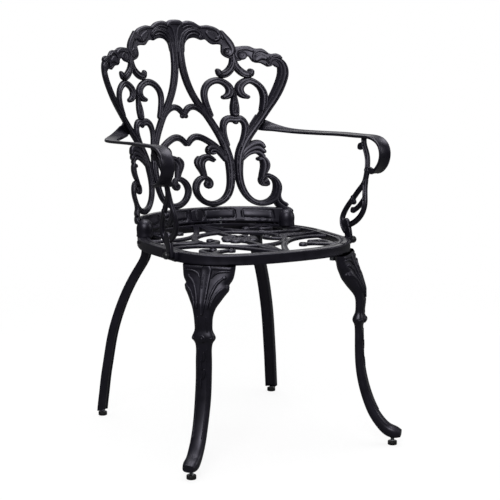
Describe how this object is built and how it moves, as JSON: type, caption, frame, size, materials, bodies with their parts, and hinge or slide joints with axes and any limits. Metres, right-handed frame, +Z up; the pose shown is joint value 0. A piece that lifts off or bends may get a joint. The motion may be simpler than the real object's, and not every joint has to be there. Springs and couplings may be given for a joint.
{
  "type": "garden armchair",
  "caption": "Openwork cast metal garden armchair with a curved scrollwork back, round lattice seat, strip arms on scroll supports, cabriole front legs and adjustable feet.",
  "frame": {"origin": "on the floor, under the middle of the whole chair's bounding box", "axes": "+Z up, -Y towards the sitter's front, +X towards the sitter's left; x 0 is the plane of symmetry"},
  "size_m": [0.5126, 0.5742, 0.8602],
  "materials": {
    "casting_back": "satin black powder coat over cast metal",
    "casting_seat": "satin black powder coat over cast metal",
    "casting_arm": "satin black powder coat over cast metal",
    "casting_leg": "satin black powder coat over cast metal",
    "zinc_stud": "bright zinc plated",
    "zinc_bolt": "bright zinc plated",
    "zinc_washer": "bright zinc plated",
    "black_bolt": "black coated",
    "glide": "moulded black plastic"
  },
  "bodies": {
    "chair": {"back_frame": "casting_back", "seat_frame": "casting_seat", "arm_left": "casting_arm", "arm_right": "casting_arm", "front_leg_left": "casting_leg", "front_leg_right": "casting_leg", "rear_leg_left": "casting_leg", "rear_leg_right": "casting_leg", "front_leg_bolts": "zinc_bolt", "front_leg_washers": "zinc_washer", "rear_leg_bolts": "zinc_bolt", "rear_leg_washers": "zinc_washer", "arm_seat_bolts": "black_bolt", "arm_back_screws": "black_bolt", "arm_back_washers": "zinc_washer", "back_seat_bolts": "zinc_bolt", "back_seat_washers": "zinc_washer"},
    "front left foot": {"front_stud_left": "zinc_stud", "front_glide_left": "glide"},
    "front right foot": {"front_stud_right": "zinc_stud", "front_glide_right": "glide"},
    "rear left foot": {"rear_stud_left": "zinc_stud", "rear_glide_left": "glide"},
    "rear right foot": {"rear_stud_right": "zinc_stud", "rear_glide_right": "glide"}
  },
  "joints": [
    {"name": "front left foot height", "type": "slide", "parent": "chair", "child": "front left foot", "axis": [0, 0, -1], "range_m": [-0.003, 0.01]},
    {"name": "front right foot height", "type": "slide", "parent": "chair", "child": "front right foot", "axis": [0, 0, -1], "range_m": [-0.003, 0.01]},
    {"name": "rear left foot height", "type": "slide", "parent": "chair", "child": "rear left foot", "axis": [0, 0, -1], "range_m": [-0.003, 0.01]},
    {"name": "rear right foot height", "type": "slide", "parent": "chair", "child": "rear right foot", "axis": [0, 0, -1], "range_m": [-0.003, 0.01]}
  ]
}
